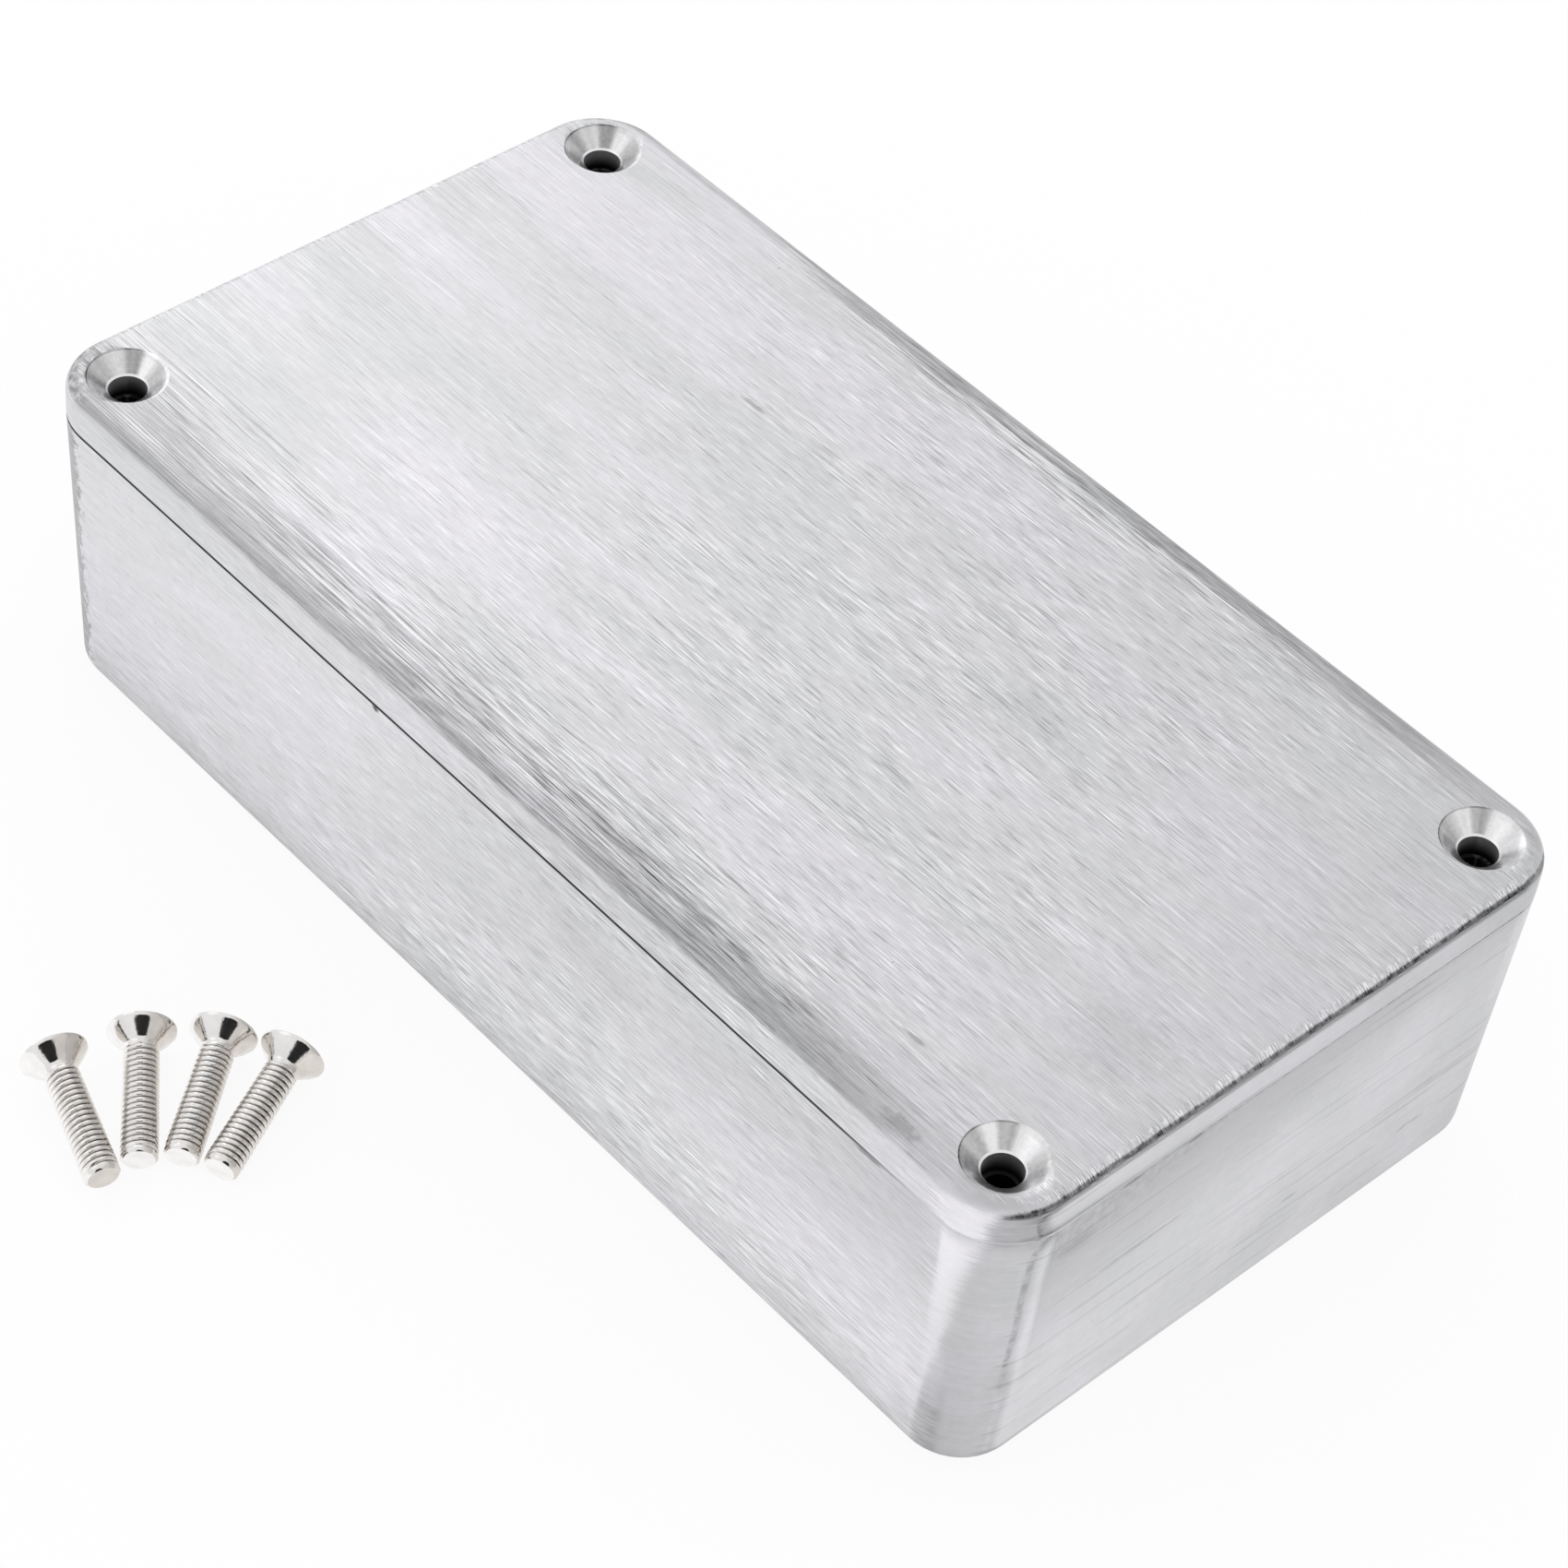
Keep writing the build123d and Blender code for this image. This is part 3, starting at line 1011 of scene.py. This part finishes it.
@dataclass
class Castings:
    """The box body and its lid, with the finish of each face chosen by where the face lies."""

    groups: Groups
    hole_inset: tuple[float, float] = (5.3, 5.2)
    countersink_radius: float = 3.35
    countersink_angle: float = 100.0
    bore_radius: float = 1.6
    corner_radius: float = 6.0
    seam_break: float = 0.13
    wall: float = 2.2

    def __post_init__(self) -> None:
        """Reads the outside sizes from the frame, in mm."""
        lid_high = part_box("lid")[1] / MM
        self.half_length = lid_high.x
        self.half_width = lid_high.y
        self.top = lid_high.z
        self.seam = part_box("box_body")[1].z / MM
        self.hole = (self.half_length - self.hole_inset[0], self.half_width - self.hole_inset[1])

    def surface(self, face: bpy.types.MeshPolygon) -> Surface:
        """Returns how a face was finished. Args: face: the face."""
        x, y, z = (abs(value) / MM for value in face.center)
        reach = math.hypot(x - self.hole[0], y - self.hole[1])
        in_bore = reach < self.bore_radius
        if reach < self.countersink_radius and (z < self.top - 0.01 or in_bore):
            if z > self.wall + 0.1 and reach < self.countersink_radius - 0.05:
                return Surface.MACHINED if z > self.seam or in_bore else Surface.AS_CAST
        past_x = x - self.half_length + self.corner_radius
        past_y = y - self.half_width + self.corner_radius
        outward = math.hypot(max(past_x, 0), max(past_y, 0)) + min(max(past_x, past_y), 0)
        outer = outward > self.corner_radius - 1.5 or z > self.top - 0.8 or z < 1.7
        return Surface.BRUSHED if outer else Surface.AS_CAST

    def close_seam(self, mesh: bpy.types.Mesh) -> None:
        """Fills the broken edges of the seam at the corner that was ground flush, and most at +X.

        Args:
            mesh: mesh of a casting, changed in place.
        """
        centre = Vector((self.half_length - self.corner_radius, self.corner_radius - self.half_width))
        for vertex in mesh.vertices:
            x, y, z = vertex.co / MM
            outward = Vector((max(x - centre.x, 0), min(y - centre.y, 0)))
            gap = self.corner_radius - outward.length
            if abs(z - self.seam) < 0.02 and 0.02 < gap < 2 * self.seam_break and x > centre.x - 4:
                worn = min(max((x - y - 66) / 8, 0), 1)
                worn = max(worn, 0.6) if x > self.half_length - 1 else worn
                vertex.co.xy += outward.normalized() * (gap * worn * MM)

    def build(self) -> list[bpy.types.Object]:
        """Makes and dresses both castings.

        Returns:
            The pieces.
        """
        brushed = BrushedAluminium(self.groups, self.half_length, self.half_width, self.seam)
        half_angle = math.radians(self.countersink_angle / 2)
        mouth = self.top - (self.countersink_radius - self.bore_radius) / math.tan(half_angle)
        finishes = {
            Surface.BRUSHED: brushed.material(),
            Surface.MACHINED: MachinedAluminium(
                self.hole, mouth, self.bore_radius, self.countersink_radius
            ).material(),
            Surface.AS_CAST: CastSkin(self.groups, self.hole, self.bore_radius).material(),
        }
        pieces = []
        for node, name in (("box_body", "box_body_casting"), ("lid", "lid_casting")):
            piece = smooth_copy(node, name)
            self.close_seam(piece.data)
            piece.data.materials.clear()
            for finish in finishes.values():
                piece.data.materials.append(finish)
            for face in piece.data.polygons:
                face.material_index = self.surface(face).value
            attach(piece, "root")
            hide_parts(node)
            pieces.append(piece)
        return pieces


@dataclass
class LidScrews:
    """The four countersunk M3 screws that lie in a fan in front of the box, sizes in mm."""

    groups: Groups
    length: float = 12.0
    thread_radius: float = 1.5
    thread_depth: float = 0.27
    pitch: float = 0.5
    head_radius: float = 2.75
    head_land: float = 0.3
    rim: float = 0.07
    tip_chamfer: float = 0.3
    tip_radius: float = 1.24
    tip_height: float = 0.24
    undercut: float = 0.1
    plain_neck: float = 0.35
    crest: float = 0.05
    recess_span: float = 3.0
    recess_slot: float = 0.7
    recess_depth: float = 1.6
    recess_core: float = 0.75
    fan_gap: float = 0.16
    fan_start: tuple[float, float] = (-5.2, -61.4)
    fan_heading: float = 162.5
    fan_steps: tuple[float, ...] = (85.5, 56.5, 30.5)
    fan_spare: tuple[float, ...] = (8.0, 3.5, 0.5)
    recess_turns: tuple[float, ...] = (10.0, 35.0, 62.0, 80.0)
    segments: int = 48
    rows_per_turn: int = 12

    def profile(self) -> list[tuple[float, float]]:
        """Radius and height of each corner of a screw, from its tip up to its head's top."""
        shank = self.thread_radius - self.crest
        cone = self.head_land + self.head_radius - self.thread_radius
        return [
            (self.tip_radius, -self.length),
            (shank, self.tip_height - self.length),
            (shank - self.undercut, -cone - self.plain_neck),
            (shank - 0.6 * self.undercut, -cone - 0.1),
            (self.thread_radius, -cone + 0.06),
            (self.head_radius - 0.32, -self.head_land - 0.3),
            (self.head_radius - 0.14, -self.head_land - 0.08),
            (self.head_radius - 0.03, -self.head_land + 0.06),
            (self.head_radius, -self.rim),
            (self.head_radius - self.rim, 0.0),
        ]

    def tree(self) -> bpy.types.NodeTree:
        """A screw that stands on its tip's axis: bands joined in a row, a thread and a recess.

        Returns:
            The geometry tree, with a named input for each size.
        """
        tree = bpy.data.node_groups.new("Countersunk screw", "GeometryNodeTree")
        sizes = {
            "Thread Depth": self.thread_depth, "Pitch": self.pitch, "Thread Start": 0.0,
            "Recess Span": self.recess_span, "Recess Slot": self.recess_slot,
            "Recess Depth": self.recess_depth, "Recess Core": self.recess_core, "Recess Turn": 0.0,
        }
        for name, value in sizes.items():
            socket = tree.interface.new_socket(name=name, in_out="INPUT", socket_type="NodeSocketFloat")
            socket.default_value = value
        finish = tree.interface.new_socket(name="Finish", in_out="INPUT", socket_type="NodeSocketMaterial")
        finish.default_value = None
        tree.interface.new_socket(name="Screw", in_out="OUTPUT", socket_type="NodeSocketGeometry")
        bench = Bench(tree)
        get = bench.add("NodeGroupInput").outputs
        corners = self.profile()
        bands = [self.cap(bench, *corners[0]), self.cap(bench, *corners[-1])]
        for number, (lower, upper) in enumerate(zip(corners, corners[1:])):
            band = self.band(bench, lower, upper, threaded=number == 1)
            bands.append(self.thread(bench, band, lower[1], upper[1], get) if number == 1 else band)
        joined = bench.add("GeometryNodeJoinGeometry")
        for band in bands:
            bench.tree.links.new(band, joined.inputs[0])
        welded = bench.add("GeometryNodeMergeByDistance", {"Geometry": joined.outputs[0], "Distance": 1e-4})
        cut = bench.add("GeometryNodeMeshBoolean", operation="DIFFERENCE", solver="EXACT")
        bench.feed(cut.inputs[0], welded.outputs[0])
        bench.feed(cut.inputs[1], self.recess(bench, get))
        real = bench.add("GeometryNodeRealizeInstances", {0: cut.outputs[0]})
        dressed = bench.add(
            "GeometryNodeSetMaterial", {"Geometry": real.outputs[0], "Material": get["Finish"]}
        )
        bench.add("NodeGroupOutput", {0: dressed.outputs[0]})
        return tree

    def cap(self, bench: Bench, radius: float, height: float) -> bpy.types.NodeSocket:
        """Returns a flat disc. Args: bench: the tree's bench; radius, height: its size and place."""
        disc = bench.add(
            "GeometryNodeMeshCircle", {"Vertices": self.segments, "Radius": radius}, fill_type="NGON"
        )
        moved = bench.add("GeometryNodeTransform", {0: disc.outputs[0], "Translation": (0, 0, height)})
        return moved.outputs[0]

    def band(self, bench: Bench, lower: tuple, upper: tuple, threaded: bool) -> bpy.types.NodeSocket:
        """One ring-shaped stretch of the screw's side.

        Args:
            bench: the tree's bench.
            lower: radius and height of its lower edge.
            upper: radius and height of its upper edge.
            threaded: True for many rows, which a thread needs.

        Returns:
            The band's mesh.
        """
        height = upper[1] - lower[1]
        rows = round(height / self.pitch * self.rows_per_turn) if threaded else 1
        feeds = {
            "Vertices": self.segments, "Side Segments": rows, "Radius Top": upper[0],
            "Radius Bottom": lower[0], "Depth": height,
        }
        cone = bench.add("GeometryNodeMeshCone", feeds, fill_type="NONE")
        moved = bench.add("GeometryNodeTransform", {0: cone.outputs[0], "Translation": (0, 0, lower[1])})
        return moved.outputs[0]

    def thread(self, bench: Bench, band: Feed, low: float, high: float, get: dict):
        """Raises a right-hand thread on a band and notes how high each point stands.

        Args:
            bench: the tree's bench.
            band: the band's mesh.
            low: height where the thread starts.
            high: height where it runs out.
            get: the tree's inputs.

        Returns:
            The threaded band.
        """
        place = bench.add("GeometryNodeInputPosition").outputs[0]
        x, y, z = bench.split(place)
        turn = bench.math("DIVIDE", bench.math("ARCTAN2", y, x), 2 * math.pi)
        phase = bench.math("SUBTRACT", bench.math("DIVIDE", z, get["Pitch"]), turn)
        phase = bench.math("ADD", phase, get["Thread Start"])
        ridge = bench.math("PINGPONG", phase, 0.5)
        crest = bench.step(ridge, 0.0, 0.3)
        start = bench.step(z, low + 0.1 * self.pitch, low + 1.2 * self.pitch)
        end = bench.step(z, high, high - 0.8 * self.pitch)
        formed = bench.times(start, end)
        height = bench.scaled(crest, get["Thread Depth"], self.crest - self.thread_depth)
        outward = bench.vector("NORMALIZE", bench.join(x, y, 0.0))
        offset = bench.vector("SCALE", outward, bench.times(height, formed))
        raised = bench.add("GeometryNodeSetPosition", {"Geometry": band, "Offset": offset})
        stored = bench.add(
            "GeometryNodeStoreNamedAttribute",
            {"Geometry": raised.outputs[0], "Name": "groove"},
            data_type="FLOAT", domain="POINT",
        )
        low_part = bench.math("SUBTRACT", 1.0, crest)
        bench.feed(stored.inputs["Value"], bench.times(low_part, formed))
        return stored.outputs[0]

    def recess(self, bench: Bench, get: dict) -> bpy.types.NodeSocket:
        """The cutter for the cross recess: two slots and a core that narrow downwards.

        Args:
            bench: the tree's bench.
            get: the tree's inputs.

        Returns:
            The cutter's mesh.
        """
        tall = bench.times(get["Recess Depth"], 2.0)
        size = bench.join(get["Recess Span"], get["Recess Slot"], tall)
        slot = bench.add("GeometryNodeMeshCube", {"Size": size})
        crossed = bench.add("GeometryNodeTransform", {0: slot.outputs[0], "Rotation": (0, 0, math.pi / 2)})
        feeds = {"Vertices": 24, "Radius": get["Recess Core"], "Depth": tall}
        core = bench.add("GeometryNodeMeshCylinder", feeds)
        union = bench.add("GeometryNodeMeshBoolean", operation="UNION", solver="EXACT")
        for part in (slot, crossed, core):
            bench.tree.links.new(part.outputs[0], union.inputs[1])
        feeds = {
            "Vertices": 32, "Radius Top": bench.times(get["Recess Span"], 0.56),
            "Radius Bottom": bench.times(get["Recess Core"], 0.5),
            "Depth": bench.times(get["Recess Depth"], 1.12),
        }
        taper = bench.add("GeometryNodeMeshCone", feeds, fill_type="NGON")
        drop = bench.join(0.0, 0.0, bench.times(get["Recess Depth"], -1.0))
        sunk = bench.add("GeometryNodeTransform", {0: taper.outputs[0], "Translation": drop})
        shared = bench.add("GeometryNodeMeshBoolean", operation="INTERSECT", solver="EXACT")
        bench.tree.links.new(union.outputs[0], shared.inputs[1])
        bench.tree.links.new(sunk.outputs[0], shared.inputs[1])
        angle = bench.join(0.0, 0.0, get["Recess Turn"])
        return bench.add("GeometryNodeTransform", {0: shared.outputs[0], "Rotation": angle}).outputs[0]

    def places(self) -> list[Matrix]:
        """Where each screw lies: on its head's rim and its tip, with neighbours' tips close.

        Returns:
            For each screw, the move from its own frame in mm to the box's frame in metres.
        """
        tip_step = 2 * self.thread_radius + self.fan_gap
        room = 2 * self.head_radius + self.fan_gap - tip_step
        least_turn = math.degrees(math.asin(room / self.length))
        rise = self.head_radius - self.thread_radius
        tilt = math.atan2(rise, self.length - self.head_land - self.tip_chamfer)
        height = (self.thread_radius - self.tip_chamfer * math.tan(tilt)) * math.cos(tilt)
        x, y = self.fan_start
        heading = self.fan_heading
        spots = [(x, y, heading)]
        for direction, spare in zip(self.fan_steps, self.fan_spare):
            x += tip_step * math.cos(math.radians(direction))
            y += tip_step * math.sin(math.radians(direction))
            heading -= least_turn + spare
            spots.append((x, y, heading))
        lie = Matrix.Rotation(math.pi / 2 - tilt, 4, "Y") @ Matrix.Translation((0, 0, self.length))
        return [
            Matrix.Scale(MM, 4) @ Matrix.Translation((x, y, height))
            @ Matrix.Rotation(math.radians(heading), 4, "Z") @ lie
            for x, y, heading in spots
        ]

    def build(self) -> list[bpy.types.Object]:
        """Makes and dresses the four screws.

        Returns:
            The pieces.
        """
        tree = self.tree()
        ids = {item.name: item.identifier for item in tree.interface.items_tree}
        finish = BrightNickel(self.groups).material()
        pieces = []
        for number, (place, turn) in enumerate(zip(self.places(), self.recess_turns), start=1):
            name = f"lid_screw_{number}_threaded"
            piece = bpy.data.objects.new(name, bpy.data.meshes.new(name))
            bpy.context.scene.collection.objects.link(piece)
            maker = piece.modifiers.new("Countersunk screw", "NODES")
            maker.node_group = tree
            maker[ids["Recess Turn"]] = math.radians(turn)
            maker[ids["Thread Start"]] = 0.3 * number
            maker[ids["Finish"]] = finish
            settle(piece)
            piece.data.shade_smooth()
            piece.data.set_sharp_from_angle(angle=math.radians(42))
            piece.data.transform(place)
            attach(piece, "root")
            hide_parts(f"lid_screw_{number}")
            pieces.append(piece)
        return pieces


@dataclass(frozen=True)
class Lamp:
    """A soft square lamp: where it hangs and what it points at in metres, its side and its power."""

    name: str
    place: tuple[float, float, float]
    aim: tuple[float, float, float]
    side: float
    power: float = 0.0

    def place_holder(self, holder: bpy.types.Object, axis: str) -> None:
        """Puts an object in the lamp's place. Args: holder: the object; axis: its axis that points."""
        direction = Vector(self.aim) - Vector(self.place)
        holder.location = self.place
        holder.rotation_euler = direction.to_track_quat(axis, "Y").to_euler()


def disc(name: str, radius: float, sides: int, material: bpy.types.Material) -> bpy.types.Object:
    """A flat round sheet for the studio.

    Args:
        name: its name.
        radius: its radius in metres.
        sides: how many straight sides its border has.
        material: its material.

    Returns:
        The sheet, linked to the scene.
    """
    shape = bmesh.new()
    bmesh.ops.create_circle(shape, cap_ends=True, segments=sides, radius=radius)
    mesh = bpy.data.meshes.new(name)
    shape.to_mesh(mesh)
    shape.free()
    mesh.materials.append(material)
    sheet = bpy.data.objects.new(name, mesh)
    bpy.context.scene.collection.objects.link(sheet)
    return sheet


def seen_or_mirrored(bench: Bench) -> Feed:
    """Returns 1 for rays of the camera, a mirror or a clear piece. Args: bench: a material's bench."""
    path = bench.add("ShaderNodeLightPath").outputs
    seen = bench.larger(path["Is Camera Ray"], path["Is Glossy Ray"])
    return bench.larger(seen, path["Is Transmission Ray"])


def mix_surface(bench: Bench, share: Feed, first: bpy.types.Node, second: bpy.types.Node) -> None:
    """Makes a material's surface a mix of two shaders.

    Args:
        bench: the material's bench.
        share: 0 for the first shader, 1 for the second.
        first: the first shader.
        second: the second shader.
    """
    mixed = bench.add("ShaderNodeMixShader", {0: share, 1: first.outputs[0], 2: second.outputs[0]})
    bench.feed(bench.tree.nodes["Surface"].inputs["Surface"], mixed.outputs[0])


@dataclass(frozen=True)
class Studio:
    """White floor, white surroundings and soft lamps."""

    floor_radius: float = 4.0
    floor_drop: float = 0.02
    floor_glow: float = 0.9
    sky: float = 1.0
    mirrored: float = 0.8
    screws_before: float = -0.035
    cards: tuple[Lamp, ...] = (
        Lamp("low_card", (0.204, -0.208, 0.141), (-0.01, -0.052, 0.003), 0.24),
    )
    lamps: tuple[Lamp, ...] = (
        Lamp("key", (-0.35, -0.45, 0.62), (0.0, 0.0, 0.0), 0.5, 0.15),
        Lamp("back", (-0.62, 0.30, 0.52), (0.0, 0.0, 0.02), 0.5, 0.42),
    )

    def build(self) -> None:
        """Makes the floor, the dark card, the lamps and the world."""
        self.make_floor()
        self.make_cards()
        self.make_world()
        for lamp in self.lamps:
            light = bpy.data.lights.new(lamp.name, "AREA")
            light.size = lamp.side
            light.energy = lamp.power
            holder = bpy.data.objects.new(lamp.name, light)
            lamp.place_holder(holder, "-Z")
            bpy.context.scene.collection.objects.link(holder)

    def make_floor(self) -> None:
        """A round floor that looks white to the camera and keeps the object's shadow."""
        material, bench, shader = new_material("white_floor")
        shader.inputs["Base Color"].default_value = (0.93, 0.93, 0.93, 1)
        shader.inputs["Roughness"].default_value = 0.9
        shader.inputs["Specular IOR Level"].default_value = 0.0
        glow = bench.add("ShaderNodeEmission", {"Color": (1, 1, 1, 1), "Strength": 1.0})
        share = bench.times(seen_or_mirrored(bench), self.floor_glow)
        mix_surface(bench, share, shader, glow)
        floor = disc("floor", self.floor_radius, 96, material)
        floor.location.z = -self.floor_drop * MM

    def make_cards(self) -> None:
        """Dark round cards beside the viewpoint, which only the screws in front of the box mirror.

        The material works out where a mirrored ray starts: one that starts on the box passes through.
        """
        material, bench, shader = new_material("dark_card")
        shader.inputs["Base Color"].default_value = (0.02, 0.02, 0.02, 1)
        shader.inputs["Roughness"].default_value = 1.0
        shader.inputs["Specular IOR Level"].default_value = 0.0
        geometry = bench.add("ShaderNodeNewGeometry").outputs
        length = bench.add("ShaderNodeLightPath").outputs["Ray Length"]
        way = bench.vector("SCALE", geometry["Incoming"], length)
        start_y = bench.split(bench.vector("ADD", geometry["Position"], way))[1]
        clear = bench.add("ShaderNodeBsdfTransparent")
        mix_surface(bench, bench.math("LESS_THAN", start_y, self.screws_before), clear, shader)
        for spec in self.cards:
            card = disc(spec.name, spec.side / 2, 48, material)
            spec.place_holder(card, "Z")
            for ray in ("camera", "diffuse", "shadow", "transmission"):
                setattr(card, f"visible_{ray}", False)

    def make_world(self) -> None:
        """Even white surroundings, at full white where they are seen and less where mirrored."""
        world = bpy.data.worlds.new("studio")
        world.use_nodes = True
        world.node_tree.nodes.clear()
        bench = Bench(world.node_tree)
        mirrored = bench.add("ShaderNodeLightPath").outputs["Is Glossy Ray"]
        strength = bench.blend(seen_or_mirrored(bench), self.sky, 1.0)
        strength = bench.blend(mirrored, strength, self.mirrored)
        sky = bench.add("ShaderNodeBackground", {"Color": (1, 1, 1, 1), "Strength": strength})
        bench.add("ShaderNodeOutputWorld", {"Surface": sky.outputs[0]})
        bpy.context.scene.world = world


@dataclass(frozen=True)
class PhotoCamera:
    """The photograph's viewpoint, solved from the box's outline and its four holes."""

    place: tuple[float, float, float] = (0.17325, -0.18559, 0.27106)
    aim: tuple[float, float, float] = (0.00459, -0.00216, 0.0155)
    roll: float = 7.42
    focal_pixels: float = 4880.0
    frame_pixels: float = 1700.0
    sensor: float = 36.0

    def build(self) -> None:
        """Makes the camera and gives it to the scene."""
        lens = bpy.data.cameras.new("camera")
        lens.sensor_width = self.sensor
        lens.lens = self.focal_pixels / self.frame_pixels * self.sensor
        lens.clip_start = 0.01
        holder = bpy.data.objects.new("camera", lens)
        direction = (Vector(self.aim) - Vector(self.place)).normalized()
        level = direction.to_track_quat("-Z", "Y").to_matrix().to_4x4()
        turned = level @ Matrix.Rotation(math.radians(self.roll), 4, "Z")
        holder.matrix_world = Matrix.Translation(self.place) @ turned
        bpy.context.scene.collection.objects.link(holder)
        bpy.context.scene.camera = holder


def main() -> None:
    """Builds the box, its screws and the studio, and logs each piece."""
    logging.basicConfig(level=logging.INFO, format="%(name)s: %(message)s")
    groups = Groups(brushing_group(), scratches_group(), clouds_group(), mark_group())
    PhotoCamera().build()
    for maker in (Castings(groups), LidScrews(groups)):
        for piece in maker.build():
            LOG.info("%s: %d faces", piece.name, len(piece.data.polygons))
    Studio().build()
    bpy.context.scene.view_settings.view_transform = "Standard"


if __name__ == "__main__":
    main()
